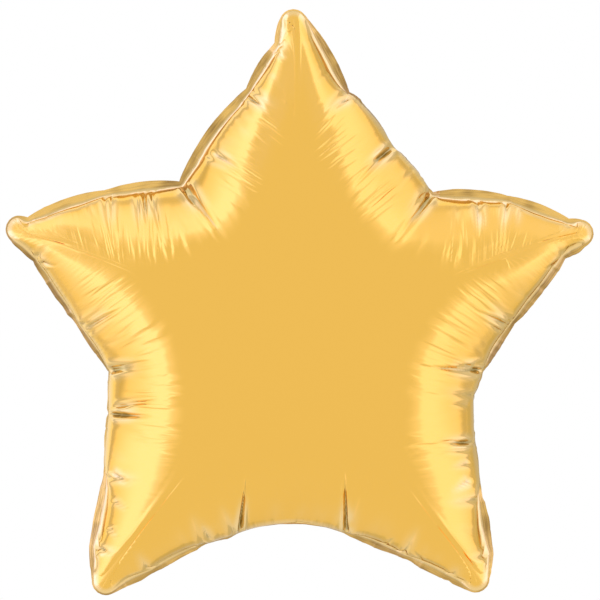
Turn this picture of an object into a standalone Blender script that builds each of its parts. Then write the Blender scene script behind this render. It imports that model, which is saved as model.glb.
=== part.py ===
# Star foil balloon: two film panels sealed round the rim and blown up, with its filling neck folded up behind.
import math
import bpy
import bmesh
from mathutils import Vector

starReach = 0.258                # metres from the star's middle to the end of its top arm

# Five arms, counted from the top one to the left: how far each tip and each notch stands from the middle as a
# share of that reach, and how many degrees it is turned from its place on an even star.
tipShare = (1.0, 0.950, 1.0155, 1.002, 0.988)
tipTurn = (0.0, -2.4, -0.7, 0.3, 0.8)
notchShare = (0.581, 0.585, 0.593, 0.605, 0.612)
notchTurn = (1.2, -5.4, 2.2, 5.8, -9.4)
tipRound = 0.0110                # radius of an arm's blunt end

# Gathers of the sealed edge: for each side from corner to corner, the share of the side where one sits and how
# many metres the film there is drawn in from the straight side.
gathers = (((0.22, 0.0065), (0.47, 0.0065)), ((0.40, -0.0055), (0.83, 0.0030)),
           ((0.29, 0.0045), (0.72, 0.0015)), ((0.18, 0.0025), (0.45, 0.0025), (0.76, -0.0045)),
           ((0.30, 0.0035), (0.57, 0.0100), (0.71, 0.0085)), ((0.23, 0.0045), (0.52, 0.0040), (0.78, 0.0015)),
           ((0.20, -0.0040), (0.45, 0.0035), (0.70, 0.0080), (0.90, 0.0075)), ((0.30, 0.0050), (0.73, 0.0070)),
           ((0.21, 0.0010), (0.58, -0.0080)), ((0.25, 0.0040), (0.545, 0.0072)))
lobeLow = 0.020                  # how far a lobe stands out between two gathers, as a share of its length
lobeHigh = 0.060                 # the same on the upper arms, where the edge is slacker
lobeWave = 0.07                  # how far a lobe swings out of the star's plane, as a share of its length
neckArch = 0.10                  # how far the edge arches up over the neck, as a share of its length

seamWidth = 0.0076               # flat sealed edge outside the blown-up part
seamSlack = (0.70, 0.45)         # share of that width at a gather, and what a wide lobe adds to it
# How many degrees the sealed edge folds back: by place, counted in sides from the top tip to the left.
foldBack = ((0.00, 20), (0.50, 15), (1.00, 12), (1.95, 15), (2.05, 35), (2.30, 50), (2.90, 55), (3.05, 78),
            (3.40, 78), (3.48, 32), (4.00, 25), (4.25, 45), (4.52, 52), (4.60, 78), (5.20, 78), (5.28, 48),
            (5.60, 38), (6.00, 25), (6.45, 35), (6.52, 78), (6.97, 78), (7.10, 50), (7.90, 40), (8.00, 20),
            (8.50, 12), (8.97, 15), (9.03, 78), (9.50, 78), (9.58, 22), (10.0, 20))
neckClear = (0.014, 0.028)       # metres from the neck's middle between which that fold sets in
filmThickness = 0.0010           # sealed edge and neck
halfDepth = 0.083                # from the star's plane to the middle of a panel
shoulder = 0.072                 # how far in from its sides a panel levels out
fullness = 0.60                  # how steeply it rises at the seam, less being steeper
armFullness = 10                 # how full the arms are beside the middle, more being fuller
cornerEase = 0.8                 # how softly the two sides of a notch share their rise
seamHold = 8                     # how soon the panel loses the gathered line of its seam
domeReach = 0.185                # radius that the rings near a panel's middle are drawn from
domeBlend = 0.8                  # how soon they take that round form
puff = 0.0038                    # how much fuller the film stands behind a lobe of the edge
puffReach = 0.030                # how far in from the seam that reaches
lobeSize = 0.050                 # length of a lobe that has all of it
furrowDepth = 0.0045             # of the furrow that runs in from each gather
furrowReach = 0.24               # share of the way to the middle that it runs
notchFurrow = 1.4                # how much deeper a notch's own furrow is

edgeStep = 0.0064                # length of one stretch of the sealed edge
panelRings = 10                  # rings of one panel from its middle to the seam
neckStretches = 4                # stretches of the sealed edge that the neck is as wide as
neckTaper = 0.90                 # width of the neck's end as a share of its root
# The way the neck runs backward and upward from the edge, fold by fold.
neckPath = ((0.0030, -0.0005), (0.0200, 0.0002), (0.0400, 0.0125), (0.0575, 0.0310), (0.0700, 0.0500))


def corner(share, turn, place):
    # The place of a tip or a notch, the first tip being straight up.
    angle = math.pi / 2 + math.pi * place / len(tipShare) + math.radians(turn)
    return Vector((math.cos(angle), math.sin(angle))) * starReach * share


def corners():
    found = []
    for arm in range(len(tipShare)):
        found.append(corner(tipShare[arm], tipTurn[arm], 2 * arm))
        found.append(corner(notchShare[arm], notchTurn[arm], 2 * arm + 1))
    return found


def sharpTip(tip, before, after):
    # The corner that the two sides of an arm would meet in, if its end weren't blunt.
    half = ((before - tip).angle(after - tip)) / 2
    return tip + tip.normalized() * tipRound * (1 / math.sin(half) - 1)


def sharpCorners():
    ends = corners()
    return [sharpTip(ends[i], ends[i - 1], ends[(i + 1) % 10]) if i % 2 == 0 else ends[i] for i in range(10)]


def sideLines(sharp, inset):
    # The star's ten sides moved in by the seam's width: the way inward, and how far along it each lies.
    lines = []
    for i in range(10):
        along = (sharp[(i + 1) % 10] - sharp[i]).normalized()
        inward = Vector((-along.y, along.x))
        lines.append((inward, inward.dot(sharp[i]) + inset))
    return lines


def crossings(lines):
    # The corners where those sides meet.
    found = []
    for i in range(10):
        (a, first), (b, second) = lines[i - 1], lines[i]
        area = a.x * b.y - a.y * b.x
        found.append(Vector(((first * b.y - second * a.y) / area, (a.x * second - b.x * first) / area)))
    return found


def knots(sharp):
    # Places round the edge where it turns or is gathered: point, kind, side, and share of that side.
    found = []
    for i in range(10):
        start, end = sharp[i], sharp[(i + 1) % 10]
        if i % 2 == 0:
            before, after = (sharp[i - 1] - start).normalized(), (end - start).normalized()
            half = before.angle(after) / 2
            cut = tipRound / math.tan(half)
            middle = start + (before + after).normalized() * tipRound / math.sin(half)
            first, last = start + before * cut - middle, start + after * cut - middle
            for k in range(5):
                way = first.lerp(last, k / 4).normalized()
                found.append((middle + way * tipRound, "tip" if k < 4 else "end", i, (k - 2) / 2 * 0.02))
        elif i != 5:
            found.append((start, "notch", i, 0.0))
        span = end - start
        inward = Vector((-span.y, span.x)).normalized()
        for share, drawn in gathers[i]:
            kind = "arch" if (i, share) == (4, gathers[4][-1][0]) else "gather"
            found.append((start.lerp(end, share) + inward * drawn, kind, i, share))
    return found


def foldAt(place):
    # The fold back of the sealed edge at a place counted in sides.
    place %= 10
    for (start, low), (end, high) in zip(foldBack, foldBack[1:]):
        if start <= place <= end:
            return math.radians(low + (high - low) * (place - start) / (end - start))
    return math.radians(foldBack[0][1])


def edgeSpots():
    # Evenly stepped spots of the edge. Each has its point, its swing out of the plane, its gather, its lobe, its
    # fold back, and its place on the plain star that the panels are drawn from.
    sharp = sharpCorners()
    lines = sideLines(sharp, seamWidth)
    inner = crossings(lines)
    marks = knots(sharp)
    spots = []
    for i, (start, kind, side, share) in enumerate(marks):
        end, endKind, endSide, endShare = marks[(i + 1) % len(marks)]
        span = end - start
        outward = Vector((span.y, -span.x)).normalized()
        height = min(1.0, max(0.0, (start.y + end.y) / 2 / 0.10))
        bow = {"arch": -neckArch, "tip": 0.0}.get(kind, lobeLow + (lobeHigh - lobeLow) * height)
        count = max(1, round(span.length / edgeStep))
        ahead = (endSide - side) % 10 + endShare
        for k in range(count):
            u = k / count
            place = side + share + (ahead - share) * u
            whole = math.floor(place)
            lobe = 0.0 if kind in ("tip", "arch") else span.length * math.sin(math.pi * u)
            pull = {"notch": notchFurrow, "gather": 1.0, "arch": 1.0}.get(kind, 0.0) if k == 0 else 0.0
            spots.append({
                "edge": start + span * u + outward * span.length * bow * math.sin(math.pi * u) ** 0.8,
                "plain": inner[whole % 10].lerp(inner[(whole + 1) % 10], place - whole),
                "lobe": lobe, "pull": pull, "fold": foldAt(place),
                "swing": lobe * lobeWave * (1 if i % 2 else -1)})
    for i, spot in enumerate(spots):
        along = spots[(i + 2) % len(spots)]["edge"] - spots[i - 2]["edge"]
        spot["outward"] = Vector((along.y, -along.x)).normalized()
        width = seamWidth * (seamSlack[0] + seamSlack[1] * min(1.0, spot["lobe"] / lobeSize))
        spot["seam"] = spot["edge"] - spot["outward"] * width * math.cos(spot["fold"])
        low, high = neckClear
        clear = 1.0 if spot["edge"].y > 0 else min(1.0, max(0.0, (abs(spot["edge"].x) - low) / (high - low)))
        spot["back"] = width * math.sin(spot["fold"]) * clear
        spot["furrow"] = 0.0
    for i, spot in enumerate(spots):
        for step, weight in ((0, 1.0), (1, 0.35), (-1, 0.35)):
            spot["furrow"] += weight * spots[(i + step) % len(spots)]["pull"]
    return spots, lines


def pillow(lines, place):
    # How high a panel stands over a place on the star's plane, before it is brought to its full depth.
    rises = []
    for n in range(1, 10, 2):
        first, second = (inward.dot(place) - offset for inward, offset in (lines[n - 1], lines[n]))
        most = max(first, second)
        joined = (first + second + math.hypot(first - second, cornerEase * most)) / 2
        rises.append(math.tanh(max(joined, 0.0001) / shoulder) ** fullness)
    least = sum(rise ** -armFullness for rise in rises) ** (-1 / armFullness)
    return math.sqrt(math.prod(rises) * least)


def panelPoint(spot, ring, lines):
    # A point of the front panel: ring 0 is its middle and panelRings the seam.
    share = math.sin(math.pi / 2 * ring / panelRings)
    rounded = spot["plain"].normalized() * domeReach
    base = spot["plain"].lerp(rounded, (1 - share) ** domeBlend) * share
    flat = base + (spot["seam"] - spot["plain"]) * share ** seamHold
    if ring == panelRings:
        return flat, 0.0, spot["swing"]
    depth = pillow(lines, base) / pillow(lines, Vector((0.0, 0.0))) * halfDepth
    near = max(0.0, 1 - (1 - share) / furrowReach)
    depth -= furrowDepth * spot["furrow"] * near * min(1.0, depth / 0.02)
    far = (1 - share) * abs(lines[0][1]) / puffReach
    depth += puff * min(1.2, spot["lobe"] / lobeSize) * far * math.exp(1 - far * 2.2)
    return flat, depth, spot["swing"] * share ** 6


def buildBalloon():
    spots, lines = edgeSpots()
    around = len(spots)
    bands = 2 * panelRings + 3
    mesh = bmesh.new()
    bmesh.ops.create_uvsphere(mesh, u_segments=around, v_segments=bands, radius=1.0)
    places = {}
    for vertex in mesh.verts:
        i = round(math.atan2(vertex.co.y, vertex.co.x) / (2 * math.pi / around)) % around
        places[vertex] = (i, round(math.acos(max(-1.0, min(1.0, vertex.co.z))) / math.pi * bands))
    for vertex, (i, band) in places.items():
        spot = spots[i]
        front = band <= panelRings + 1
        ring = band if front else bands - band
        side = -1 if front else 1
        if ring > panelRings:
            flat, depth, swing = spot["edge"], 0.0, spot["swing"] + spot["back"]
        else:
            flat, depth, swing = panelPoint(spot, ring, lines)
        lean = math.atan2(spot["back"], max(0.0001, (spot["edge"] - spot["seam"]).length))
        lean *= 1.0 if ring >= panelRings else 0.0
        flat = flat - spot["outward"] * side * math.sin(lean) * filmThickness / 2
        vertex.co = (flat.x, swing + side * (depth + math.cos(lean) * filmThickness / 2), flat.y)
    foldNeck(mesh, places, [spot["edge"] for spot in spots])
    bmesh.ops.recalc_face_normals(mesh, faces=mesh.faces)
    return mesh


def foldNeck(mesh, places, edge):
    # Draws the neck out of the edge's own rim over the bottom notch, and brings its root to the origin.
    around = len(edge)
    bottom = min(range(around), key=lambda i: abs(edge[i].x) + (1.0 if edge[i].y > 0 else 0.0))
    first = bottom - neckStretches // 2
    columns = [(first + k) % around for k in range(neckStretches + 1)]
    rim = (panelRings + 1, panelRings + 2)
    rimFaces = []
    for face in mesh.faces:
        spots = [places[vertex] for vertex in face.verts]
        if all(band in rim and i in columns for i, band in spots):
            rimFaces.append(face)
    root = Vector((0.0, 0.0, edge[bottom].y))
    previous = Vector((0.0, 0.0, 0.0))
    path = [Vector((0.0, back, up)) for back, up in neckPath]
    marks = []
    for k, place in enumerate(path):
        along = (path[min(k + 1, len(path) - 1)] - previous).normalized()
        across = Vector((0.0, -along.z, along.y))
        grown = bmesh.ops.extrude_face_region(mesh, geom=rimFaces, use_keep_orig=False)
        newVerts = [item for item in grown["geom"] if isinstance(item, bmesh.types.BMVert)]
        newFaces = [item for item in grown["geom"] if isinstance(item, bmesh.types.BMFace)]
        bmesh.ops.delete(mesh, geom=[face for face in rimFaces if face.is_valid], context="FACES")
        if k == 0:
            sides = {vertex: (vertex.co.x, 1 if vertex.co.y > 0 else -1) for vertex in newVerts}
        else:
            sides = {vertex: min(((abs(vertex.co.x - old.x) + abs((vertex.co - old).length), value)
                                  for old, value in marks), key=lambda pair: pair[0])[1] for vertex in newVerts}
        width = 1 + (neckTaper - 1) * (k + 1) / len(path)
        for vertex, (wide, side) in sides.items():
            vertex.co = root + place + across * side * filmThickness / 2 + Vector((wide * width, 0.0, 0.0))
        marks = [(vertex.co.copy(), sides[vertex]) for vertex in newVerts]
        rimFaces = newFaces
        previous = place
    bmesh.ops.translate(mesh, vec=-root, verts=mesh.verts)


def filmMaterial():
    material = bpy.data.materials.new("gold_film")
    material.use_nodes = True
    shader = material.node_tree.nodes["Principled BSDF"]
    shader.inputs["Base Color"].default_value = (0.86, 0.51, 0.11, 1.0)
    shader.inputs["Metallic"].default_value = 1.0
    shader.inputs["Roughness"].default_value = 0.2
    return material


for thing in list(bpy.data.objects):
    bpy.data.objects.remove(thing, do_unlink=True)

parts = bpy.data.collections.new("parts")
bpy.context.scene.collection.children.link(parts)
mesh = buildBalloon()
data = bpy.data.meshes.new("star_balloon")
mesh.to_mesh(data)
mesh.free()
balloon = bpy.data.objects.new("star_balloon", data)
data.materials.append(filmMaterial())
parts.objects.link(balloon)
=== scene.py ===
import bpy
import bmesh
import math
import random
import numpy as np
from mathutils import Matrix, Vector, kdtree


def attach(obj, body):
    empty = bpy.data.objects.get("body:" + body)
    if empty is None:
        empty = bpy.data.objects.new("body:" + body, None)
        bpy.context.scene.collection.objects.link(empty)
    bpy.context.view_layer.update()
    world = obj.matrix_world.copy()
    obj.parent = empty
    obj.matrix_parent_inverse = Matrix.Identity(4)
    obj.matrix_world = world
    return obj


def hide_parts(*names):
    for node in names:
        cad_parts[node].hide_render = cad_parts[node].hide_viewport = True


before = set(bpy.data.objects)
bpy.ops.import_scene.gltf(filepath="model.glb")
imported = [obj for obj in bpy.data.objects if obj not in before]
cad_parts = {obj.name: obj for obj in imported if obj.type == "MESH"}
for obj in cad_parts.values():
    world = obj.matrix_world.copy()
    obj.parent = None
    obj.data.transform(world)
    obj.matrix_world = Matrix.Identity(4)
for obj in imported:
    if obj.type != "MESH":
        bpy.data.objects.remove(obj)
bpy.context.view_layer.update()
print("frame loaded")

# the star's cut: its outline, the gathers of its sealed edge, and how that edge folds
starCut = {
    "reach": 0.258,                     # metres from the middle to the top arm's end
    "middleHeight": 0.15446,            # the star's middle above the root of its neck
    "tipShare": (1.0, 0.950, 1.0155, 1.002, 0.988),
    "tipTurn": (0.0, -2.4, -0.7, 0.3, 0.8),
    "notchShare": (0.581, 0.585, 0.593, 0.605, 0.612),
    "notchTurn": (1.2, -5.4, 2.2, 5.8, -9.4),
    "tipRound": 0.0110,
    "tipSteps": 8, "tipShareOfSide": 0.02,
    # for each side, the share of it where a gather sits and the metres drawn in there
    "gathers": (((0.22, 0.0065), (0.47, 0.0065)),
                ((0.40, -0.0055), (0.83, 0.0030)),
                ((0.29, 0.0045), (0.72, 0.0015)),
                ((0.18, 0.0025), (0.45, 0.0025), (0.76, -0.0045)),
                ((0.30, 0.0035), (0.57, 0.0100), (0.71, 0.0085)),
                ((0.23, 0.0045), (0.52, 0.0040), (0.78, 0.0015)),
                ((0.20, -0.0040), (0.45, 0.0035), (0.70, 0.0080), (0.90, 0.0075)),
                ((0.30, 0.0050), (0.73, 0.0070)),
                ((0.21, 0.0010), (0.58, -0.0080)),
                ((0.25, 0.0040), (0.545, 0.0072))),
    "pull": {"notch": 1.0, "gather": 0.75, "arch": 0.75},      # how strongly each kind pinches the film
    # how far the edge bows out between gathers, as shares of the span, low and high on the star
    "lobeLow": 0.020, "lobeHigh": 0.060, "lobeBlunt": 0.8, "lobeWave": 0.07, "lobeSize": 0.050,
    "neckArch": 0.10,
    "edgeStep": 0.0005,                 # metres between the points that the edge is traced with
    "seamWidth": 0.0076,
    "tipNarrow": (0.62, 0.13),          # how much narrower the sealed edge is at a tip, and how far round
    "seamSlack": (0.70, 0.45),          # share of that width at a gather, and what a wide lobe adds
    # degrees that the sealed edge folds back, by place counted in sides from the top tip to the left
    "foldBack": ((0.00, 20), (0.50, 15), (1.00, 12), (1.95, 15), (2.05, 35), (2.30, 50), (2.90, 55),
                 (3.05, 78), (3.40, 78), (3.48, 32), (4.00, 25), (4.25, 45), (4.52, 52), (4.60, 78),
                 (5.20, 78), (5.28, 48), (5.60, 38), (6.00, 25), (6.45, 35), (6.52, 78), (6.97, 78),
                 (7.10, 50), (7.90, 40), (8.00, 20), (8.50, 12), (8.97, 15), (9.03, 78), (9.50, 78),
                 (9.58, 22), (10.0, 20)),
    "neckClear": (0.014, 0.028),        # metres from the neck's middle where that fold sets in
    "lobeTop": 0.10,                    # height over the middle from which the edge is at its slackest
    # metres within which each of these is evened out along the edge
    "evened": {"edge": 0.0022, "fold": 0.0035, "seam": 0.0012, "back": 0.002, "swing": 0.0015,
               "soft": 0.011},
}


def cutCorners(cut):
    found = []
    for arm in range(5):
        for share, turn, place in ((cut["tipShare"][arm], cut["tipTurn"][arm], 2 * arm),
                                   (cut["notchShare"][arm], cut["notchTurn"][arm], 2 * arm + 1)):
            angle = math.radians(90 + 36 * place + turn)
            found.append(Vector((math.cos(angle), math.sin(angle))) * cut["reach"] * share)
    return found


def sharpCorners(cut):
    ends = cutCorners(cut)
    found = []
    for i, end in enumerate(ends):
        if i % 2 == 0:
            half = (ends[i - 1] - end).angle(ends[(i + 1) % 10] - end) / 2
            end = end + end.normalized() * cut["tipRound"] * (1 / math.sin(half) - 1)
        found.append(end)
    return found


def insetCorners(corners, inset):
    # the corners of the same star with every side moved in by the seam's width
    lines = []
    for i in range(10):
        along = (corners[(i + 1) % 10] - corners[i]).normalized()
        inward = Vector((-along.y, along.x))
        lines.append((inward, inward.dot(corners[i]) + inset))
    found = []
    for i in range(10):
        (a, c), (b, d) = lines[i - 1], lines[i]
        det = a.x * b.y - a.y * b.x
        found.append(Vector(((c * b.y - d * a.y) / det, (a.x * d - b.x * c) / det)))
    return found, lines


def edgeMarks(cut):
    # every place where the sealed edge turns or is gathered: point, kind, side, and share of that side
    sharp = sharpCorners(cut)
    marks = []
    for i in range(10):
        start, end = sharp[i], sharp[(i + 1) % 10]
        if i % 2 == 0:
            before, after = (sharp[i - 1] - start).normalized(), (end - start).normalized()
            half = before.angle(after) / 2
            reach = cut["tipRound"] / math.tan(half)
            middle = start + (before + after).normalized() * cut["tipRound"] / math.sin(half)
            first, last = start + before * reach - middle, start + after * reach - middle
            steps = cut["tipSteps"]
            for k in range(steps + 1):
                way = first.lerp(last, k / steps).normalized()
                kind = "tip" if k < steps else "end"
                share = (k * 2 / steps - 1) * cut["tipShareOfSide"]
                marks.append((middle + way * cut["tipRound"], kind, i, share))
        elif i != 5:
            marks.append((start, "notch", i, 0.0))
        inward = Vector((start.y - end.y, end.x - start.x)).normalized()
        for share, drawn in cut["gathers"][i]:
            kind = "arch" if (i, share) == (4, cut["gathers"][4][-1][0]) else "gather"
            marks.append((start.lerp(end, share) + inward * drawn, kind, i, share))
    return marks, sharp


def tracedEdge(cut, count):
    # evenly stepped points of the edge: point, point of the plain star, lobe, swing, fold, place in sides
    marks, sharp = edgeMarks(cut)
    inner, lines = insetCorners(sharp, cut["seamWidth"])
    folds = np.array(cut["foldBack"])
    rows, pulls = [], []
    for i, (start, kind, side, share) in enumerate(marks):
        end, _, endSide, endShare = marks[(i + 1) % len(marks)]
        span = end - start
        outward = Vector((span.y, -span.x)).normalized()
        height = min(1.0, max(0.0, (start.y + end.y) / 2 / cut["lobeTop"]))
        bow = cut["lobeLow"] + (cut["lobeHigh"] - cut["lobeLow"]) * height
        bow = {"arch": -cut["neckArch"], "tip": 0.0}.get(kind, bow)
        steps = max(2, round(span.length / cut["edgeStep"]))
        ahead = (endSide - side) % 10 + endShare       # shares are counted on from this side's start
        for k in range(steps):
            u = k / steps
            point = start + span * u
            point += outward * span.length * bow * math.sin(math.pi * u) ** cut["lobeBlunt"]
            at = side + share + (ahead - share) * u
            whole = math.floor(at)
            plain = inner[whole % 10].lerp(inner[(whole + 1) % 10], at - whole)
            lobe = 0.0 if kind in ("tip", "arch") else span.length * math.sin(math.pi * u)
            swing = lobe * cut["lobeWave"] * (1 if i % 2 else -1)
            fold = math.radians(np.interp(at % 10, folds[:, 0], folds[:, 1]))
            rows.append((*point, *plain, lobe, swing, fold, at))
            pulls.append(cut["pull"].get(kind, 0.0) if k == 0 else 0.0)
    table = np.array(rows)
    run = np.concatenate([[0], np.cumsum(np.hypot(*(np.roll(table[:, :2], -1, 0) - table[:, :2]).T))])
    closed = np.vstack([table, table[:1]])
    closed[-1, 7] += 10
    at = np.linspace(0, run[-1], count, endpoint=False)
    traced = np.stack([np.interp(at, run, closed[:, k]) for k in range(8)], 1)
    pinches = [(run[k], pull) for k, pull in enumerate(pulls) if pull]
    return traced, run[-1], pinches, lines


def drawnTogether(values, reach, length):
    # a closed line of values, each averaged with its neighbours within that reach
    count = len(values)
    spread = np.minimum(np.arange(count), count - np.arange(count)) * length / count
    weight = np.exp(-(spread / reach) ** 2)
    weight /= weight.sum()
    turned = np.fft.fft(values, axis=0) * np.fft.fft(weight)[:, None]
    return np.real(np.fft.ifft(turned, axis=0))


# the blown-up film: rings of points from the seam to the middle, in millimetres in from the seam
film = {
    "around": 2400,                     # points round the seam, halved ring group by ring group
    "frontIn": ((0, 0.7, 1.6, 2.7, 4.0, 5.5, 7.3, 9.4, 11.8, 14.2, 16.7, 19.3, 22.0, 24.8, 27.7, 30.7,
                 33.8, 37.0, 40.4, 44.0, 48.0, 52.5),
                (58.0, 65.0, 74.0), (85.0, 97.0), (109.0, 121.0, 131.0, 139.0)),
    "backIn": ((0, 1.2), (2.8, 5.0, 8.0, 12.0, 16.5, 22.0, 28.5, 36.0, 44.5, 54.0),
               (65.0, 77.0, 90.0), (104.0, 119.0, 131.0, 139.0)),
    "middleDistance": 146.0,            # from the star's middle to the line of its sides
    "halfDepth": 0.083,
    "shoulder": 0.072,                  # how far in from a side the film levels out
    "fullness": 0.60,
    "armFullness": 10,
    "cornerEase": 0.8,
    "domeReach": 0.185,
    "domeBlend": 0.8,
    "seamHold": 8,
    "thickness": 0.0005,
    "straight": 0.80, "straightTo": (45.0, 105.0),      # how straight in a ring's points stand
    "straightEven": 0.006,
    "tipRound": 11.0, "tipWide": 0.16,  # how far in a tip's rounding is felt, and how wide in sides
    "calmer": 0.6,                      # how fast the seam's waves die out inward
    "swingHold": 6,
    "clearNear": 0.020, "clearWide": 0.018,     # how near an arm's middle line the creases fade
    "spreadMost": 1.5, "spreadLeast": 0.2,
    "even": 0.003,                      # metres within which widths and directions are evened out
    # the arms whose ridges are evened, how far out and how wide in metres, and how often
    "ridgeArms": (0, 2, 8), "ridgeFrom": (0.178, 0.238), "ridgeWide": 0.006, "ridgeRounds": 24,
    "edgeRows": (0.28, 0.64, 1.0),      # rows of the sealed edge, in shares of its width
    "seed": 11,
}


def plainStar(film, plain, share):
    # place on the star's plane of one ring of the smooth pillow
    length = np.hypot(plain[:, 0], plain[:, 1])[:, None]
    mix = (1 - share) ** film["domeBlend"]
    return (plain * (1 - mix) + plain / length * film["domeReach"] * mix) * share


def pillowHeight(film, lines, place):
    rises = []
    for n in range(1, 10, 2):
        a, b = (place @ np.array(inward) - offset for inward, offset in (lines[n - 1], lines[n]))
        most = np.maximum(a, b)
        joined = (a + b + np.hypot(a - b, film["cornerEase"] * most)) / 2
        rises.append(np.tanh(np.maximum(joined, 0.0001) / film["shoulder"]) ** film["fullness"])
    least = sum(rise ** -film["armFullness"] for rise in rises) ** (-1 / film["armFullness"])
    return np.sqrt(np.prod(rises, 0) * least)


traced, edgeLength, pinches, sideLines = tracedEdge(starCut, film["around"])
print("edge traced, %.3f m round, %d gathers" % (edgeLength, len(pinches)))


def ringOf(values, count):
    return values[::len(values) // count]


def sealedEdge(cut):
    # the edge's outer line, its seam, the way outward, how far the rim folds back, and the fold
    edge = traced[:, :2]
    even = cut["evened"]
    smooth = drawnTogether(edge, even["edge"], edgeLength)
    along = np.roll(smooth, -1, 0) - np.roll(smooth, 1, 0)
    outward = np.stack([along[:, 1], -along[:, 0]], 1) / np.hypot(along[:, 0], along[:, 1])[:, None]
    fold = drawnTogether(traced[:, 6:7], even["fold"], edgeLength)
    width = cut["seamWidth"] * (cut["seamSlack"][0] + cut["seamSlack"][1]
                                * np.minimum(1, traced[:, 4:5] / cut["lobeSize"]))
    fromTip = traced[:, 7:8] - 2 * np.round(traced[:, 7:8] / 2)
    width = width * (1 - cut["tipNarrow"][0] * np.exp(-(fromTip / cut["tipNarrow"][1]) ** 2))
    seam = drawnTogether(edge - outward * width * np.cos(fold), even["seam"], edgeLength)
    low, high = cut["neckClear"]
    clear = np.where(edge[:, 1:] > 0, 1.0, np.clip((np.abs(edge[:, :1]) - low) / (high - low), 0, 1))
    back = drawnTogether(width * np.sin(fold) * clear, even["back"], edgeLength)
    lean = np.arctan2(back, np.hypot(*(edge - seam).T)[:, None])
    return edge, seam, outward, back[:, 0], lean[:, 0]


edgeLine, seamLine, edgeOut, foldedBack, foldLean = sealedEdge(starCut)
edgeSwing = drawnTogether(traced[:, 5:6], starCut["evened"]["swing"], edgeLength)[:, 0]


def treeOf(line):
    tree = kdtree.KDTree(len(line))
    for i, (x, y) in enumerate(line):
        tree.insert((x, y, 0), i)
    tree.balance()
    return tree


def alongLine(line, tree, place):
    # nearest place on a closed line, as a run along it, and how far off it lies
    index = np.array([tree.find((x, y, 0))[1] for x, y in place])
    best, run = np.full(len(place), 1e9), np.zeros(len(place))
    for step in (-1, 0):
        start = line[(index + step) % len(line)]
        way = line[(index + step + 1) % len(line)] - start
        part = np.clip(((place - start) * way).sum(1) / (way ** 2).sum(1), 0, 1)
        far = np.hypot(*(start + way * part[:, None] - place).T)
        nearer = far < best
        best = np.where(nearer, far, best)
        run = np.where(nearer, index + step + part, run)
    return run / len(line) * edgeLength, best


# a seam with round notches, from which creases fan out evenly
softSeam = drawnTogether(seamLine, starCut["evened"]["soft"], edgeLength)
seamTree, softTree = treeOf(seamLine), treeOf(softSeam)


def straightIn(film, base, inMm):
    # slides a ring's points along it, so that each stands nearly straight in from its own place on the seam
    count = len(base)
    index = np.arange(count)
    own = index / count * edgeLength
    gap = alongLine(softSeam, softTree, base)[0] - own
    run = np.maximum.accumulate(own + gap - np.round(gap / edgeLength) * edgeLength)
    run = np.concatenate([run - edgeLength, run, run + edgeLength])
    wanted = np.interp(own, run, np.arange(-count, 2 * count)) - index
    low, high = film["straightTo"]
    keep = film["straight"] * (1 - np.clip((inMm - low) / (high - low), 0, 1))
    spot = index + drawnTogether(wanted[:, None] * keep, film["straightEven"], edgeLength)[:, 0]
    whole = np.floor(spot).astype(int)
    part = (spot - whole)[:, None]
    return base[whole % count] * (1 - part) + base[(whole + 1) % count] * part


def calmedReach(inMm):
    # metres within which the seam's waves are evened out on a ring that far in
    return (inMm * film["calmer"] + 0.1) / 1000


def blownUpRings(film, ringsIn):
    # every ring from the seam to the middle: place on the plane, height and share of the way out
    plain = traced[:, 2:4]
    middle = pillowHeight(film, sideLines, np.zeros((1, 2)))[0]
    atTips = np.exp(-((traced[:, 7:8] - 2 * np.round(traced[:, 7:8] / 2)) / film["tipWide"]) ** 2)
    rings = []
    count = film["around"]
    for group in ringsIn:
        for inMm in group:
            share = 1 - inMm / film["middleDistance"]
            base = plainStar(film, ringOf(plain, count), share)
            if inMm > 0:
                base = straightIn(film, base, inMm)
            rounded = 1 - atTips * (1 - math.exp(-inMm / film["tipRound"]))
            offset = drawnTogether((seamLine - plain) * rounded, calmedReach(inMm), edgeLength)
            place = base + ringOf(offset, count) * share ** film["seamHold"]
            height = pillowHeight(film, sideLines, base) / middle * film["halfDepth"]
            if inMm == 0:
                height[:] = 0
            rings.append({"place": place, "height": height, "share": share, "inMm": inMm})
        count //= 2
    return rings


def seamwise(rings):
    # how far each point lies from the seam, where along it, how wide a crease there is drawn, and how clear
    # of the line down the middle of an arm it is
    for ring in rings:
        place = ring["place"]
        ring["run"] = alongLine(softSeam, softTree, place)[0]
        ring["away"] = alongLine(seamLine, seamTree, place)[1]
        turn = np.roll(ring["run"], -2) - np.roll(ring["run"], 2)
        turn = np.abs(turn - np.round(turn / edgeLength) * edgeLength)
        gone = np.hypot(*(np.roll(place, -2, 0) - np.roll(place, 2, 0)).T)
        inward = np.roll(ring["away"], -2) - np.roll(ring["away"], 2)
        level = np.sqrt(np.maximum(gone ** 2 - inward ** 2, 1e-10))
        spread = np.clip(turn / level, film["spreadLeast"], film["spreadMost"])
        ring["spread"] = drawnTogether(spread[:, None], film["even"], edgeLength)[:, 0]
        clear = np.ones(len(place))
        for tip in range(0, 10, 2):
            a, b = (place @ np.array(inward) - offset
                    for inward, offset in (sideLines[tip - 1], sideLines[tip]))
            near = np.exp(-(np.maximum(0, np.minimum(a, b) - ring["away"]) / film["clearNear"]) ** 2)
            clear *= 1 - near * np.exp(-((a - b) / film["clearWide"]) ** 2)
        ring["clear"] = clear


frontRings, backRings = (blownUpRings(film, film[key]) for key in ("frontIn", "backIn"))
for rings in (frontRings, backRings):
    seamwise(rings)
print("rings", len(frontRings), "in front and", len(backRings), "behind")


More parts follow.
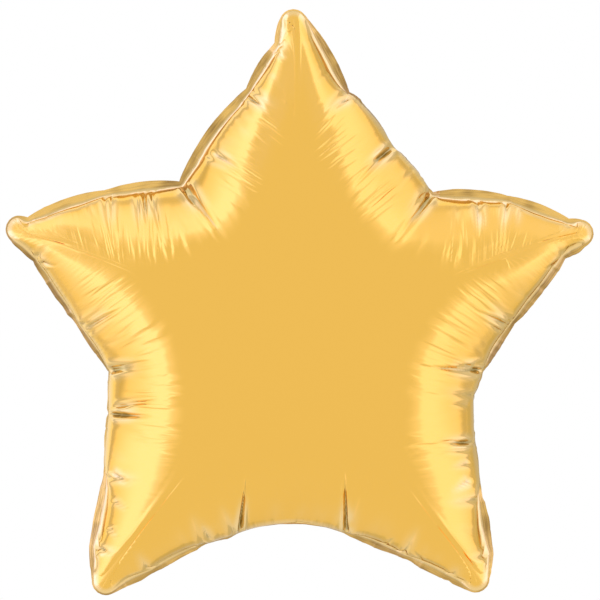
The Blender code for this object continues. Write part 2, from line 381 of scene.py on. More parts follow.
creases = {
    # from the seam inward, in metres from the star's middle: x, z, x, z, depth in mm, width in mm
    "long": (
        (-0.0147, 0.224, -0.004, 0.214, 1.6, 3.2), (-0.037, 0.188, -0.0155, 0.169, 1.8, 3.6),
        (-0.036, 0.186, -0.022, 0.176, 1.2, 2.4), (-0.060, 0.139, -0.0345, 0.1225, 2.0, 3.4),
        (-0.066, 0.137, -0.040, 0.124, 1.3, 2.6), (-0.083, 0.113, -0.048, 0.066, 2.4, 4.0),
        (-0.080, 0.104, -0.058, 0.080, 1.4, 2.6), (-0.119, 0.112, -0.114, 0.083, 2.2, 3.4),
        (-0.124, 0.110, -0.118, 0.066, 1.2, 2.8), (-0.113, 0.112, -0.099, 0.064, 1.3, 3.0),
        (-0.144, 0.106, -0.141, 0.079, 1.6, 2.8), (-0.199, 0.054, -0.189, 0.051, 1.6, 2.6),
        (-0.164, 0.002, -0.134, 0.018, 2.0, 3.4), (-0.162, -0.002, -0.137, 0.013, 1.2, 2.4),
        (-0.147, -0.030, -0.106, -0.022, 2.2, 3.6), (-0.143, -0.033, -0.090, -0.024, 1.6, 3.0),
        (-0.141, -0.066, -0.106, -0.066, 2.2, 3.2), (-0.139, -0.060, -0.092, -0.050, 1.3, 2.8),
        (-0.142, -0.113, -0.126, -0.122, 1.6, 2.8), (-0.141, -0.135, -0.130, -0.141, 1.2, 2.4),
        (-0.145, -0.157, -0.139, -0.164, 1.2, 2.4), (-0.152, -0.173, -0.146, -0.181, 1.2, 2.4),
        (-0.066, -0.166, -0.074, -0.147, 2.0, 3.4), (-0.042, -0.162, -0.035, -0.108, 4.4, 2.4),
        (0.0425, -0.162, 0.0405, -0.108, 4.4, 2.4), (0.073, -0.172, 0.082, -0.162, 1.4, 2.6),
        (0.102, -0.182, 0.095, -0.174, 1.2, 2.4), (0.139, -0.119, 0.122, -0.128, 1.6, 3.0),
        (0.138, -0.104, 0.123, -0.107, 1.2, 2.4), (0.138, -0.088, 0.108, -0.085, 2.0, 3.2),
        (0.139, -0.094, 0.110, -0.093, 1.2, 2.4), (0.138, -0.058, 0.123, -0.056, 1.2, 2.4),
        (0.147, -0.032, 0.089, -0.026, 2.4, 3.6), (0.150, -0.026, 0.110, -0.030, 1.4, 2.6),
        (0.172, 0.004, 0.144, 0.016, 2.0, 3.4), (0.165, 0.000, 0.150, 0.008, 1.2, 2.4),
        (0.211, 0.054, 0.201, 0.049, 1.6, 2.8), (0.147, 0.103, 0.146, 0.072, 2.0, 3.2),
        (0.150, 0.101, 0.152, 0.078, 1.2, 2.4), (0.110, 0.110, 0.078, 0.066, 2.4, 4.0),
        (0.102, 0.106, 0.086, 0.083, 1.4, 2.6), (0.076, 0.143, 0.048, 0.112, 2.2, 3.4),
        (0.070, 0.139, 0.049, 0.124, 1.3, 2.6), (0.046, 0.187, 0.028, 0.171, 1.8, 3.2),
        (0.043, 0.184, 0.030, 0.178, 1.2, 2.4), (0.180, 0.096, 0.178, 0.080, 1.0, 2.4)),
    "deeper": 1.3, "finer": 0.85, "endWidth": 0.35, "fadeIn": 0.004,
    # chance pleats: how many, how far in, how deep and wide in mm, and how much one may lean
    "pleats": 210, "pleatReach": (9.0, 34.0), "pleatDepth": (0.12, 0.55), "pleatWidth": (2.0, 3.8),
    "pleatLean": 0.25, "pleatFadeIn": 9.0,
    "calm": ((2.05, 2.60), (3.40, 3.95), (7.45, 7.95)), "calmer": 0.3,      # places where few pleats show
    "pinchDepth": 2.8, "pinchReach": 36.0, "pinchWidth": 2.6, "pinchFadeIn": 1.5,   # at the gathers, in mm
    "sharp": 1.5, "lip": 0.42, "lipAt": 1.55, "lipWide": 0.8,       # a crease's section, in its own widths
    "puff": 0.0038, "puffReach": 30.0, "puffDrop": 2.2, "puffMost": 1.2, "ridgePuff": 0.5,
    "creased": 0.0013, "creasedEven": 0.0022,   # depth from which the film counts as creased
    "valley": (0.0009, 0.0022),         # depths between which a crease's floor gets painted shade
    "deepest": 0.5,                     # no crease is deeper than that share of the film's height there
}


def foldShape(x):
    # one sharp valley between two low rounded ridges
    lip = np.exp(-((np.abs(x) - creases["lipAt"]) / creases["lipWide"]) ** 2)
    return np.exp(-np.abs(x) * creases["sharp"]) - creases["lip"] * lip


def longCreases(values, place, away):
    depth = np.zeros(len(place))
    for x0, z0, x1, z1, deep, wide in values["long"]:
        start, end = np.array((x0, z0)), np.array((x1, z1))
        reach = np.hypot(*(end - start))
        way = (end - start) / reach
        rel = place - start
        along = rel @ way / reach
        across = rel @ np.array((-way[1], way[0]))
        taper = np.clip(1 - along, 0, 1) ** 0.8 * np.clip(1 + along * 6, 0, 1)
        width = values["endWidth"] + (1 - values["endWidth"]) * np.clip(1 - along, 0, 1)
        width = wide / 1000 * values["finer"] * width
        depth += deep / 1000 * values["deeper"] * taper * foldShape(across / width)
    return depth * np.clip(away / values["fadeIn"], 0, 1) ** 0.5


def seamwiseCreases(values, rings, dice):
    # pinches at the gathers and pleats between them
    run, away, spread, clear = (np.concatenate([ring[key] for ring in rings])
                                for key in ("run", "away", "spread", "clear"))
    depth = np.zeros(len(run))
    mm = 0.001

    def around(at):
        gap = run - at
        return (gap - np.round(gap / edgeLength) * edgeLength) / spread

    for at, pull in pinches:
        x = around(at) / (values["pinchWidth"] * mm * (0.6 + 0.4 * np.exp(-away / 0.02)))
        fade = np.exp(-away / (values["pinchReach"] * mm / 2))
        fade = fade * np.clip(away / (values["pinchFadeIn"] * mm), 0, 1) ** 0.5
        depth += values["pinchDepth"] * pull * mm * fade * foldShape(x)
    for k in range(values["pleats"]):
        at, lean = dice.uniform(0, edgeLength), dice.uniform(-values["pleatLean"], values["pleatLean"])
        reach, deep = dice.uniform(*values["pleatReach"]) * mm, dice.uniform(*values["pleatDepth"]) * mm
        wide = dice.uniform(*values["pleatWidth"]) * mm
        place = traced[round(at / edgeLength * len(traced)) % len(traced), 7]
        if any(low < place < high for low, high in values["calm"]):
            deep *= values["calmer"]
        x = (around(at) - lean * away) / (wide * (0.5 + 0.5 * np.clip(1 - away / reach, 0, 1)))
        near = np.abs(x) < 5
        fade = np.clip(1 - away[near] / reach, 0, 1) ** 1.2
        fade = fade * np.clip(away[near] / (values["pleatFadeIn"] * mm), 0, 1)
        depth[near] += deep * fade * foldShape(x[near])
    return depth * clear


def lobePuff(values, ring):
    # the film stands fuller behind each lobe of the edge
    lobe = drawnTogether(traced[:, 4:5], calmedReach(ring["inMm"]), edgeLength)[:, 0]
    runs = np.arange(len(lobe)) / len(lobe) * edgeLength
    lobe = np.interp(ring["run"] % edgeLength, runs, lobe) / starCut["lobeSize"]
    lobe = np.minimum(values["puffMost"], lobe)
    lobe = lobe * ring["clear"] + values["ridgePuff"] * (1 - ring["clear"])
    far = ring["inMm"] / values["puffReach"]
    return values["puff"] * lobe * far * math.exp(1 - far * values["puffDrop"])


def ringPoints(ring, side):
    # points of a ring in the part's frame; side is -1 in front and 1 behind
    place, height = ring["place"], ring["height"] + lobePuff(creases, ring)
    swing = drawnTogether(edgeSwing[:, None], calmedReach(ring["inMm"]), edgeLength)[:, 0]
    swing = ringOf(swing, len(place)) * ring["share"] ** film["swingHold"]
    return np.stack([place[:, 0], swing + side * height, place[:, 1] + starCut["middleHeight"]], 1)


def surfaceNormals(points, inner, side):
    around = np.roll(points, -1, 0) - np.roll(points, 1, 0)
    normal = np.cross(around, inner - points)
    normal /= np.linalg.norm(normal, axis=1)[:, None] + 1e-12
    return normal * np.where(normal[:, 1] * side < 0, -1, 1)[:, None]


def foldedPanel(rings, side, seed):
    made = []
    plainPoints = [ringPoints(ring, side) for ring in rings]
    away = np.concatenate([ring["away"] for ring in rings])
    place = np.concatenate([ring["place"] for ring in rings])
    depth = seamwiseCreases(creases, rings, random.Random(seed))
    depth += longCreases(creases, place, away)
    height = np.concatenate([ring["height"] for ring in rings])
    depth = np.minimum(depth, height * creases["deepest"])
    first = 0
    for ring in rings:
        count = len(ring["place"])
        creased = np.clip(np.abs(depth[first:first + count]) / creases["creased"], 0, 1)
        ring["creased"] = drawnTogether(creased[:, None], creases["creasedEven"], edgeLength)[:, 0]
        low, high = creases["valley"]
        ring["valley"] = np.clip((depth[first:first + count] - low) / (high - low), 0, 1) * ring["clear"]
        first += count
    first = 0
    for k, ring in enumerate(rings):
        points = plainPoints[k]
        count = len(points)
        if k + 1 < len(rings):
            inner = plainPoints[k + 1]
            inner = inner if len(inner) == count else np.repeat(inner, 2, 0)[:count]
            normal = surfaceNormals(points, inner, side)
        else:
            normal = np.tile((0.0, side, 0.0), (count, 1))
        smooth = drawnTogether(normal, film["even"], edgeLength)
        smooth /= np.linalg.norm(smooth, axis=1)[:, None]
        push = -depth[first:first + count]
        if ring["inMm"] == 0:
            points = edgeRowPoints(film, 0.0, side)
            push = push * 0
        made.append(points + smooth * push[:, None])
        first += count
    return made


# the flat sealed edge and the neck
sealed = {
    "ripples": 330, "rippleHigh": 0.55, "rippleWide": (1.0, 3.4),     # heights and widths in millimetres
    "flutters": 90, "flutterHigh": 1.1, "flutterWide": (5.0, 13.0),
    "still": 0.012, "stillWide": 0.014,         # metres beside the neck where the edge lies still
    "lobeFull": 0.012, "lobeLeast": 0.15,       # lobe size from which the waves are at full strength
}


def chanceBumps(dice, count, high, wide):
    # chance bumps along the edge, in metres
    run = np.arange(film["around"]) / film["around"] * edgeLength
    total = np.zeros(film["around"])
    for k in range(count):
        gap = run - dice.uniform(0, edgeLength)
        gap -= np.round(gap / edgeLength) * edgeLength
        total += dice.uniform(-high, high) * 0.001 * np.exp(-(gap / (dice.uniform(*wide) * 0.001)) ** 2)
    return total


def besideNeck(values):
    far = (np.abs(edgeLine[:, 0]) - values["still"]) / values["stillWide"]
    return np.where(edgeLine[:, 1] > 0, 1.0, np.clip(far, 0, 1))


edgeDice = random.Random(film["seed"])
edgeRipple = chanceBumps(edgeDice, sealed["ripples"], sealed["rippleHigh"], sealed["rippleWide"])
edgeFlutter = chanceBumps(edgeDice, sealed["flutters"], sealed["flutterHigh"], sealed["flutterWide"])
neckNear = besideNeck(sealed)


def edgeRowPoints(film, row, side):
    # a row of the flat sealed edge, from the seam (0) to the rim (1), rippled across and folded back
    place = seamLine + (edgeLine - seamLine) * row
    off = (edgeRipple * math.sin(math.pi * min(row, 0.75)) + edgeFlutter * row ** 1.5) * neckNear
    off = off * np.clip(traced[:, 4] / sealed["lobeFull"], sealed["lobeLeast"], 1)
    off = off + side * film["thickness"] / 2
    place = place - edgeOut * (np.sin(foldLean) * off)[:, None]
    y = edgeSwing + foldedBack * row + np.cos(foldLean) * off
    return np.stack([place[:, 0], y, place[:, 1] + starCut["middleHeight"]], 1)


neck = {
    # the way it runs backward and upward from the edge, fold by fold
    "path": ((0.0030, -0.0005), (0.0200, 0.0002), (0.0400, 0.0125), (0.0575, 0.0310), (0.0700, 0.0500)),
    "foldSteps": 20, "rounded": 60, "steps": 44,
    "width": 0.024, "taper": 0.90,
    # height of its crumples, and of each wave: share of that height, waves across, waves along, and start
    "crumple": 0.00044, "crumpleFrom": 3, "waves": ((1, 520, 9, 0), (1, 310, -17, 2), (0.6, 900, 31, 0)),
}


def neckCurve(values):
    # the neck's way, rounded at its folds
    corners = [Vector((0, 0))] + [Vector(p) for p in values["path"]]
    points = []
    for i in range(len(corners) - 1):
        for k in range(values["foldSteps"]):
            points.append(corners[i].lerp(corners[i + 1], k / values["foldSteps"]))
    points.append(corners[-1])
    for _ in range(values["rounded"]):
        inside = [(points[i - 1] + points[i] * 2 + points[i + 1]) / 4 for i in range(1, len(points) - 1)]
        points = [points[0], *inside, points[-1]]
    spans = [(points[i + 1] - points[i]).length for i in range(len(points) - 1)]
    run = np.concatenate([[0], np.cumsum(spans)])
    at = np.linspace(0, run[-1], values["steps"] + 1)[1:]
    return np.stack([np.interp(at, run, [p[k] for p in points]) for k in range(2)], 1)


def drawNeck(mesh, frontRim, backRim):
    # the neck grows out of the rim over the bottom notch and folds up behind
    columns = [i for i in range(film["around"])
               if edgeLine[i, 1] < 0 and abs(edgeLine[i, 0]) <= neck["width"] / 2]
    middle = min(columns, key=lambda i: abs(edgeLine[i, 0]))
    root = Vector((0, float(edgeSwing[middle]), float(edgeLine[middle, 1]) + starCut["middleHeight"]))
    spots = {}
    for (ring, points), side in ((frontRim, -1), (backRim, 1)):
        for vertex, i in ring:
            if i in columns:
                spots[vertex] = (float(edgeLine[i, 0]), side)
    touching = dict.fromkeys(f for v in spots for f in v.link_faces)
    faces = [f for f in touching if all(v in spots for v in f.verts)]
    curve = neckCurve(neck)
    before = np.zeros(2)
    for k, (back, up) in enumerate(curve):
        ahead = curve[min(k + 1, len(curve) - 1)] - before
        ahead /= np.hypot(*ahead)
        before = curve[k]
        across = Vector((0, -ahead[1], ahead[0]))
        keys = {tuple(round(c, 7) for c in v.co): value for v, value in spots.items()}
        grown = bmesh.ops.extrude_face_region(mesh, geom=faces, use_keep_orig=False)["geom"]
        bmesh.ops.delete(mesh, geom=[f for f in faces if f.is_valid], context="FACES")
        faces = [g for g in grown if isinstance(g, bmesh.types.BMFace)]
        spots = {g: keys[tuple(round(c, 7) for c in g.co)]
                 for g in grown if isinstance(g, bmesh.types.BMVert)}
        share = (k + 1) / len(curve)
        width = 1 + (neck["taper"] - 1) * share
        for vertex, (wide, side) in spots.items():
            wave = sum(high * math.sin(wide * turns + share * drift + start)
                       for high, turns, drift, start in neck["waves"])
            push = side * film["thickness"] / 2
            push += neck["crumple"] * wave * min(1.0, share * neck["crumpleFrom"])
            vertex.co = root + Vector((wide * width, back, up)) + across * push
    print("neck drawn,", len(columns), "points wide")


def evenRidges(mesh, film):
    # the film lies even along the ridge of each arm, where the columns of its two sides meet
    corners = sharpCorners(starCut)
    tips = [np.array(corners[place].normalized()) for place in film["ridgeArms"]]
    ridge = []
    for vertex in mesh.verts:
        spot = np.array((vertex.co.x, vertex.co.z - starCut["middleHeight"]))
        way = max(tips, key=lambda tip: spot @ tip)
        along, across = spot @ way, abs(spot[0] * way[1] - spot[1] * way[0])
        if film["ridgeFrom"][0] < along < film["ridgeFrom"][1] and across < film["ridgeWide"]:
            ridge.append(vertex)
    for _ in range(film["ridgeRounds"]):
        bmesh.ops.smooth_vert(mesh, verts=ridge, factor=0.5,
                              use_axis_x=True, use_axis_y=True, use_axis_z=True)
    print("ridge points evened:", len(ridge))


def makeBalloon():
    mesh = bmesh.new()
    front = foldedPanel(frontRings, -1, film["seed"])
    back = foldedPanel(backRings, 1, film["seed"] + 1)
    rows = film["edgeRows"]
    chain = list(reversed(front))
    chain += [edgeRowPoints(film, row, -1) for row in rows]
    chain += [edgeRowPoints(film, row, 1) for row in reversed(rows)]
    chain += back
    loops = []
    for k, points in enumerate(chain):      # a plain ball first, so that the rings join up without a twist
        turn = math.pi * (k + 0.5) / len(chain)
        ring = bmesh.ops.create_circle(mesh, segments=len(points), radius=math.sin(turn))["verts"]
        spots = []
        for vertex in ring:
            angle = math.atan2(vertex.co.y, vertex.co.x) / (2 * math.pi)
            spots.append((vertex, round(angle * len(points)) % len(points)))
            vertex.co = (vertex.co.x, -math.cos(turn), vertex.co.y)
        loops.append((spots, points))
    edges = [[e for v, i in ring for e in v.link_edges] for ring, points in loops]
    for k in range(len(loops) - 1):
        bmesh.ops.bridge_loops(mesh, edges=list(dict.fromkeys(edges[k] + edges[k + 1])))
    for end in (0, -1):
        bmesh.ops.contextual_create(mesh, geom=list(dict.fromkeys(edges[end])))
    bmesh.ops.recalc_face_normals(mesh, faces=mesh.faces)
    rim = len(front) + len(rows) - 1
    rimEdges = {*edges[rim], *edges[rim + 1]}
    for edge in mesh.edges:
        edge.smooth = edge not in rimEdges
    for ring, points in loops:
        for vertex, i in ring:
            vertex.co = points[i]
    evenRidges(mesh, film)
    drawNeck(mesh, loops[rim], loops[rim + 1])
    for face in mesh.faces:
        face.smooth = True
    data = bpy.data.meshes.new("balloonFilm")
    mesh.to_mesh(data)
    mesh.free()
    return data, [[i for v, i in ring] for ring, points in loops]


streaks = {
    # places where fine streaks crowd, and how far they spread there
    "crowds": ((0.34, 0.07), (0.55, 0.07), (0.86, 0.08), (1.10, 0.06), (1.42, 0.10), (1.58, 0.06),
               (2.62, 0.06), (2.93, 0.06), (3.10, 0.10), (3.24, 0.05), (6.72, 0.05), (6.92, 0.06),
               (7.08, 0.06), (7.32, 0.08), (8.42, 0.12), (8.86, 0.06), (9.12, 0.08), (9.34, 0.08),
               (9.52, 0.06)),
    "elsewhere": 0.24,                  # how strong the streaks are between the crowds
    # painted shade on the sealed edge: how dark it is, by place
    "paintedShade": ((0.0, 0.30), (0.25, 0.45), (0.45, 0.30), (0.95, 0.75), (1.05, 0.55), (1.5, 0.12),
              (1.9, 0.15), (2.1, 0.95), (2.9, 0.75), (3.1, 0.45), (3.9, 0.50), (4.5, 0.60), (5.5, 0.60),
              (6.0, 0.45), (6.3, 0.6), (6.9, 0.45), (7.1, 0.95), (7.9, 0.70), (8.1, 0.20), (8.9, 0.55),
              (9.1, 0.45), (9.58, 1.0), (9.8, 0.65), (10.0, 0.30)),
    # painted shade on the neck
    "neckPaintedShade": 0.45,
}


def noteSeamPlaces(data, orders):
    # for the finish: where each point lies along the seam and how far in it is, what is sealed film, how
    # strong the streaks are, how much painted shade darkens the sealed edge, and where the film is creased
    count = film["around"]
    rowRun = np.arange(count) / count * edgeLength
    places = traced[:, 7]
    crowd = np.zeros(count)
    for at, wide in streaks["crowds"]:
        crowd = np.maximum(crowd, np.exp(-((places - at) / wide) ** 2))
    crowd = streaks["elsewhere"] + (1 - streaks["elsewhere"]) * crowd
    paintedShadeAt = np.array(streaks["paintedShade"])
    paintedShade = np.interp(places % 10, paintedShadeAt[:, 0], paintedShadeAt[:, 1])

    inRow = {"run": rowRun, "clear": np.ones(count), "creased": np.zeros(count), "valley": np.zeros(count)}
    rows = [{**inRow, "away": np.full(count, -row * starCut["seamWidth"]), "flat": 1.0}
            for row in film["edgeRows"]]
    parts = (*reversed(frontRings), *rows, *reversed(rows), *backRings)
    run, away, clear, creased, valley = (
        np.concatenate([part[key][order] for part, order in zip(parts, orders)])
        for key in ("run", "away", "clear", "creased", "valley"))
    flat = np.concatenate([np.full(len(part["run"]), part.get("flat", 0.0)) for part in parts])
    turn, radius = run / edgeLength * 2 * math.pi, edgeLength / (2 * math.pi)
    spots = np.stack([np.cos(turn) * radius, np.sin(turn) * radius, away], 1)
    fine = np.interp(run % edgeLength, rowRun, crowd) * clear
    # painted shade of the sealed edge at each point
    dark = np.interp(run % edgeLength, rowRun, paintedShade)
    neckPoints = np.array([v.co for v in data.vertices[len(spots):]])
    spots = np.vstack([spots, neckPoints[:, [0, 2, 1]]])
    looks = np.stack([flat, fine, dark], 1)
    looks = np.vstack([looks, np.tile((1.0, 0.0, streaks["neckPaintedShade"]), (len(neckPoints), 1))])
    for name, values in (("seamPlace", spots), ("filmLook", looks)):
        made = data.attributes.new(name, "FLOAT_VECTOR", "POINT")
        made.data.foreach_set("vector", values.astype(np.float32).ravel())
    for name, values in (("creased", creased), ("valley", valley)):
        made = data.attributes.new(name, "FLOAT", "POINT")
        values = np.concatenate([values, np.zeros(len(neckPoints))])
        made.data.foreach_set("value", values.astype(np.float32))


balloonData, ringOrders = makeBalloon()
noteSeamPlaces(balloonData, ringOrders)
print("balloon mesh", len(balloonData.vertices), "points",
      sum(len(p.vertices) - 2 for p in balloonData.polygons), "triangles")
balloon = bpy.data.objects.new("balloonFilm", balloonData)
bpy.context.scene.collection.objects.link(balloon)
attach(balloon, "root")
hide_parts("star_balloon")


class Wire:
    # a socket that sums and products can be written with
    def __init__(self, tree, socket):
        self.tree, self.socket = tree, socket

    def math(self, operation, *others):
        node = self.tree.nodes.new("ShaderNodeMath")
        node.operation = operation
        for slot, value in zip(node.inputs, (self, *others)):
            if isinstance(value, Wire):
                self.tree.links.new(value.socket, slot)
            else:
                slot.default_value = value
        return Wire(self.tree, node.outputs[0])

    def __add__(self, other):
        return self.math("ADD", other)

    def __mul__(self, other):
        return self.math("MULTIPLY", other)

    def __sub__(self, other):
        return self.math("SUBTRACT", other)

    def __rsub__(self, other):
        return (self * -1).math("ADD", other)

    def __truediv__(self, other):
        return self.math("DIVIDE", other)

    def __pow__(self, other):
        return self.math("POWER", other)

    def __neg__(self):
        return self * -1

    def smooth(self, low, high):
        # 0 below low, 1 above high, soft between
        node = self.tree.nodes.new("ShaderNodeMapRange")
        node.interpolation_type = "SMOOTHSTEP"
        node.inputs["From Min"].default_value = low
        node.inputs["From Max"].default_value = high
        self.tree.links.new(self.socket, node.inputs["Value"])
        return Wire(self.tree, node.outputs["Result"])


class Finish:
    # a material's or world's nodes, each made by one method
    def __init__(self, tree):
        self.tree = tree

    def node(self, kind, settings=None, **sockets):
        node = self.tree.nodes.new("ShaderNode" + kind)
        for name, value in (settings or {}).items():
            setattr(node, name, value)
        for name, value in sockets.items():         # n0, n1 and so on stand for a socket by its number
            slot = node.inputs[int(name[1:]) if name[1:].isdigit() else name]
            if isinstance(value, Wire):
                self.tree.links.new(value.socket, slot)
            else:
                slot.default_value = value
        return node

    def out(self, node, name=0):
        return Wire(self.tree, node.outputs[name])

    def end(self, output, wire):
        self.tree.links.new(wire.socket, self.tree.nodes[output].inputs["Surface"])

    def attribute(self, name, answer="Fac"):
        return self.out(self.node("Attribute", {"attribute_name": name}), answer)

    def made(self, kind, **sockets):
        return self.out(self.node(kind, **sockets))

    def parts(self, vector):
        node = self.node("SeparateXYZ", n0=vector)
        return [self.out(node, n) for n in range(3)]

    def vectorMath(self, operation, *vectors, answer="Vector"):
        sockets = {"n%d" % k: vector for k, vector in enumerate(vectors)}
        return self.out(self.node("VectorMath", {"operation": operation}, **sockets), answer)

    def mixed(self, share, first, second):
        first, second = (c if isinstance(c, Wire) else (*c, 1) for c in (first, second))
        node = self.node("Mix", {"data_type": "RGBA"}, n0=share, n6=first, n7=second)
        return self.out(node, 2)


goldValues = {
    "film": (0.937, 0.546, 0.094),
    # paler film on creases near the seam and along the seam: a painted highlight for the pale reflections
    # there
    "paintedCreaseSheen": (0.940, 0.740, 0.400), "creasedReach": (0.014, 0.034),
    "bySeam": (0.0008, 0.005), "paintedSeamSheen": 0.55,
    "paintedCreaseShade": (0.400, 0.310, 0.120), "creaseShadeShare": 0.85,              # painted shade on the floor of a deep crease
    # the sealed edge's own colour, and the dark colour that its dark lines, patches and painted shade lead
    # to
    "sealedFilm": (0.900, 0.560, 0.150), "sealedDarkAndShade": (0.330, 0.190, 0.050),
    "paintedValleyShade": (0.600, 0.440, 0.190), "valleyReach": (-0.0032, -0.0008),       # painted shade in the seam's valley, beside the seam
    "roughness": 0.10, "sealedRoughness": 0.22, "coat": 0.25, "coatRoughness": 0.06,
    "edgeTint": (0.80, 0.66, 0.42),     # what the film mirrors at a glancing angle
    # each pattern's pitch, and how far it is drawn out inward from the seam or along it
    "streakPitch": 230.0, "streakDrawn": 0.10, "crimpPitch": 420.0, "crimpDrawn": 0.12,
    "linePitch": 900.0, "lineDrawn": 0.06, "patchPitch": 60.0,
    # heights in metres, and how far in from the seam each sets in and ends
    "streakHigh": 0.0010, "streakStep": (0.36, 0.64),
    "streakFrom": (0.012, 0.034), "streakTo": (0.046, 0.066),
    "crimpHigh": 0.00030, "crimpTo": (0.004, 0.018), "lineHigh": 0.0004,
    # dark lines and patches of the sealed edge
    "darkLines": (0.30, 0.62), "lineDark": -0.35, "darkPatches": (0.30, 0.70), "patchDark": 0.5,
    "paler": 0.1,
    "easedFrom": (0.115, 0.20), "eased": 0.42,
    "armTip": 0.262, "armFlat": (0.20, 0.38), "armFrom": (0.07, 0.14), "levelled": 0.7,
}


def goldFilm(values):
    material = bpy.data.materials.new("goldFilm")
    material.use_nodes = True
    finish = Finish(material.node_tree)
    shader = material.node_tree.nodes["Principled BSDF"]
    turnX, turnY, away = finish.parts(finish.attribute("seamPlace", "Vector"))
    isSealed, fine, paintedShade = finish.parts(finish.attribute("filmLook", "Vector"))

    def noise(along, inward, pitch, detail=1.0):
        spot = finish.made("CombineXYZ", n0=turnX * along, n1=turnY * along, n2=away * inward)
        made = finish.node("TexNoise", n0=spot, Scale=pitch, Detail=detail, Roughness=0.5)
        return finish.out(made, "Fac")

    # streaks that run straight in from the seam, a finer crimp beside it, and lines along the sealed edge
    streak = noise(1.0, values["streakDrawn"], values["streakPitch"])
    crimp = noise(1.0, values["crimpDrawn"], values["crimpPitch"])
    line = noise(values["lineDrawn"], 1.0, values["linePitch"], detail=2.0)
    patch = noise(1.0, 1.0, values["patchPitch"])
    streakWindow = away.smooth(*values["streakFrom"]) * (1 - away.smooth(*values["streakTo"])) * fine
    crimpWindow = 1 - away.smooth(*values["crimpTo"])
    height = (streak.smooth(*values["streakStep"]) - 0.5) * streakWindow * values["streakHigh"]
    height = height + (crimp - 0.5) * crimpWindow * (1 - isSealed) * values["crimpHigh"]
    height = height + (line - 0.5) * isSealed * values["lineHigh"]
    # towards the tips the film leans a little less along the arm than its mesh
    across, _, up = finish.parts(finish.out(finish.node("TexCoord"), "Object"))
    up = up - starCut["middleHeight"]
    way = finish.made("CombineXYZ", n0=across, n2=up)
    reach = finish.vectorMath("LENGTH", way, answer="Value")
    way = finish.vectorMath("NORMALIZE", way)
    normal = finish.out(finish.node("NewGeometry"), "Normal")
    lean = finish.vectorMath("DOT_PRODUCT", normal, way, answer="Value")
    less = reach.smooth(*values["easedFrom"]) * lean * -values["eased"]
    change = finish.out(finish.node("VectorMath", {"operation": "SCALE"}, n0=way, Scale=less))
    eased = finish.vectorMath("NORMALIZE", finish.vectorMath("ADD", normal, change))
    # and the top arm is flatter along its ridge
    level = 1 - (across.math("ABSOLUTE") / (values["armTip"] - up)).smooth(*values["armFlat"])
    level = level * up.smooth(*values["armFrom"]) * values["levelled"]
    level = finish.made("CombineXYZ", n0=finish.parts(eased)[0] * level * -1)
    eased = finish.vectorMath("NORMALIZE", finish.vectorMath("ADD", eased, level))
    bump = finish.node("Bump", Height=height, Strength=1.0, Distance=1.0, Normal=eased)
    # the sealed edge darkens with its random dark lines and patches, and with painted shade by place
    dark = line.smooth(*values["darkLines"]) * values["lineDark"]
    dark = dark + patch.smooth(*values["darkPatches"]) * values["patchDark"] - values["paler"] + paintedShade
    dark = dark.math("MAXIMUM", 0.0).math("MINIMUM", 1.0)
    edgeColour = finish.mixed(dark, values["sealedFilm"], values["sealedDarkAndShade"])
    # the sealed edge next to the seam is darkened: painted shade in the seam's valley
    edgeColour = finish.mixed(away.smooth(*values["valleyReach"]), edgeColour, values["paintedValleyShade"])
    # paler film where creased near the seam and right beside the seam: painted highlight
    creased = finish.attribute("creased") * (1 - away.smooth(*values["creasedReach"]))
    creased = creased.math("MAXIMUM", (1 - away.smooth(*values["bySeam"])) * values["paintedSeamSheen"])
    panel = finish.mixed(creased, values["film"], values["paintedCreaseSheen"])
    # a deep crease's floor is darkened: painted shade
    panel = finish.mixed(finish.attribute("valley") * values["creaseShadeShare"], panel, values["paintedCreaseShade"])
    colour = finish.mixed(isSealed, panel, edgeColour)
    roughness = isSealed * (values["sealedRoughness"] - values["roughness"]) + values["roughness"]
    for name, wire in (("Base Color", colour), ("Normal", finish.out(bump)), ("Roughness", roughness)):
        finish.tree.links.new(wire.socket, shader.inputs[name])
    shader.inputs["Metallic"].default_value = 1.0
    shader.inputs["Specular Tint"].default_value = (*values["edgeTint"], 1)
    shader.inputs["Coat Weight"].default_value = values["coat"]
    shader.inputs["Coat Roughness"].default_value = values["coatRoughness"]
    return material


balloonData.materials.append(goldFilm(goldValues))
print("gold film finished")


# the studio: soft light painted on the world by direction, a pale floor, and the camera
studioValues = {
    "front": 0.92,                      # level that a panel's flat middle mirrors
    "leftBox": (1.48, 1.54, 2.60), "rightBox": (1.38, 1.40, 2.00), "paler": (1.20, 1.18, 1.40),
    "leftToRight": (-0.5, 0.5), "palerTo": (-0.40, 0.20),
    # where a box sets in beside the dim front, sharply and softly, and how much of it is the sharp one
    "boxSharp": (0.40, 0.56), "boxSoft": (0.46, 0.78), "boxShare": 0.55,
    "boxFoot": (-0.90, -0.40), "boxRoof": (0.75, 0.95), "roofTurn": (-0.1, 0.15), "roofDim": (0.25, 0.45),
    "overhead": 0.25, "overheadFrom": (0.70, 0.98),         # the dim front reaches further up than aside
    "gap": 0.74, "gapFrom": (-0.50, -0.36),
    "steepLight": (1.20, 1.25, 1.35), "steepDark": (0.72, 0.74, 0.72), "steepFrom": (-0.64, -0.56),
    "shadeToLight": (-0.6, 0.7),        # the upper left is lit, the lower right is in shade
    "steepUp": (-0.5, 0.0), "steepAside": (0.15, 0.40),
    "plainLight": 1.05,                 # level that matt surfaces see
    "eye": (0.006, -2.3, 0.179), "frameWidth": 0.48,
    "floorSize": 7.0, "floorHeight": -1.25, "floorColour": (0.84, 0.833, 0.765), "floorRoughness": 0.9,
}


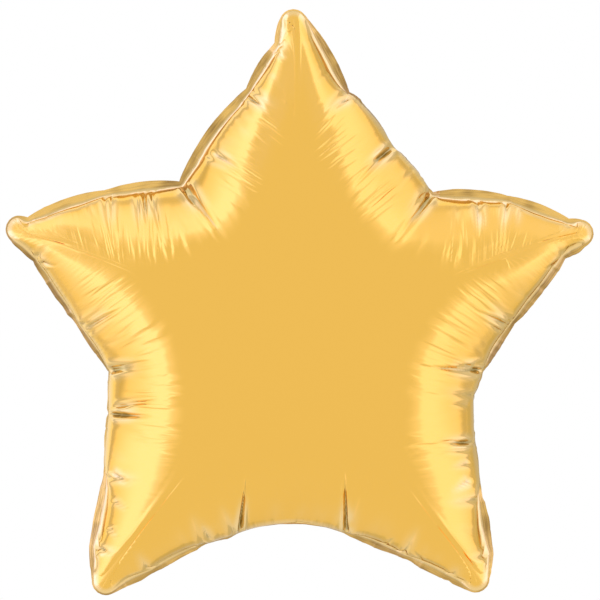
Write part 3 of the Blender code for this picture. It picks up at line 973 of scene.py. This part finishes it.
def studioWorld(values):
    world = bpy.data.worlds.new("studio")
    bpy.context.scene.world = world
    world.use_nodes = True
    finish = Finish(world.node_tree)
    x, y, z = finish.parts(finish.out(finish.node("TexCoord"), "Generated"))
    flat = (1 - y * y).math("MAXIMUM", 0.0001) ** 0.5
    sideways, upward = x / flat, z / flat
    ahead = -y                          # 1 towards the camera, -1 behind the balloon
    wider = ahead + upward.smooth(*values["overheadFrom"]) * values["overhead"]
    # two boxes beside the dim front, each brightest at its edge towards the camera
    least, more = values["roofDim"]
    roof = upward.smooth(*values["boxRoof"]) * (sideways.smooth(*values["roofTurn"]) * more + least)
    boxes = upward.smooth(*values["boxFoot"]) * (1 - roof)
    band = (1 - wider.smooth(*values["boxSharp"])) * values["boxShare"]
    band = band + (1 - wider.smooth(*values["boxSoft"])) * (1 - values["boxShare"])
    box = finish.mixed(sideways.smooth(*values["leftToRight"]), values["leftBox"], values["rightBox"])
    box = finish.mixed(wider.smooth(*values["palerTo"]), values["paler"], box)
    colour = finish.mixed(band * boxes, (values["front"],) * 3, box)
    # behind them a dark gap, and what the steep rim of the balloon mirrors
    steep = 1 - ahead.smooth(*values["steepFrom"])
    gap = (1 - ahead.smooth(*values["gapFrom"])) * (1 - steep)
    colour = finish.mixed(gap * boxes, colour, (values["gap"],) * 3)
    light = ((z - x) / flat).smooth(*values["shadeToLight"])
    aside = upward.smooth(*values["steepUp"]) + sideways.math("ABSOLUTE").smooth(*values["steepAside"])
    edge = finish.mixed(light, values["steepDark"], values["steepLight"])
    colour = finish.mixed(steep * aside.math("MINIMUM", 1.0), colour, edge)
    rays = finish.node("LightPath")
    colour = finish.mixed(finish.out(rays, "Is Diffuse Ray"), colour, (values["plainLight"],) * 3)
    room = finish.made("Background", Color=colour, Strength=1.0)
    white = finish.made("Background", Color=(1, 1, 1, 1), Strength=1.0)
    seen = finish.out(rays, "Is Camera Ray")
    finish.end("World Output", finish.made("MixShader", n0=seen, n1=room, n2=white))


def studioFloor(values):
    mesh = bmesh.new()
    bmesh.ops.create_grid(mesh, size=values["floorSize"] / 2)
    bmesh.ops.translate(mesh, vec=(0, 0, values["floorHeight"]), verts=mesh.verts)
    data = bpy.data.meshes.new("floor")
    mesh.to_mesh(data)
    mesh.free()
    floor = bpy.data.objects.new("floor", data)
    bpy.context.scene.collection.objects.link(floor)
    material = bpy.data.materials.new("paleFloor")
    material.use_nodes = True
    finish = Finish(material.node_tree)
    shader = material.node_tree.nodes["Principled BSDF"]
    shader.inputs["Base Color"].default_value = (*values["floorColour"], 1)
    shader.inputs["Roughness"].default_value = values["floorRoughness"]
    # metal mirrors the pale room beyond the floor
    mirrored = finish.out(finish.node("LightPath"), "Is Glossy Ray")
    through = finish.made("BsdfTransparent")
    finish.end("Material Output", finish.made("MixShader", n0=mirrored, n1=finish.out(shader), n2=through))
    data.materials.append(material)


def studioCamera(values):
    camera = bpy.data.cameras.new("camera")
    camera.lens = camera.sensor_width * abs(values["eye"][1]) / values["frameWidth"]
    eye = bpy.data.objects.new("camera", camera)
    eye.location = values["eye"]
    eye.rotation_euler = (math.radians(90), 0, 0)
    bpy.context.scene.collection.objects.link(eye)
    bpy.context.scene.camera = eye
    bpy.context.scene.view_settings.view_transform = "Standard"


studioWorld(studioValues)
studioFloor(studioValues)
studioCamera(studioValues)
print("studio set up")
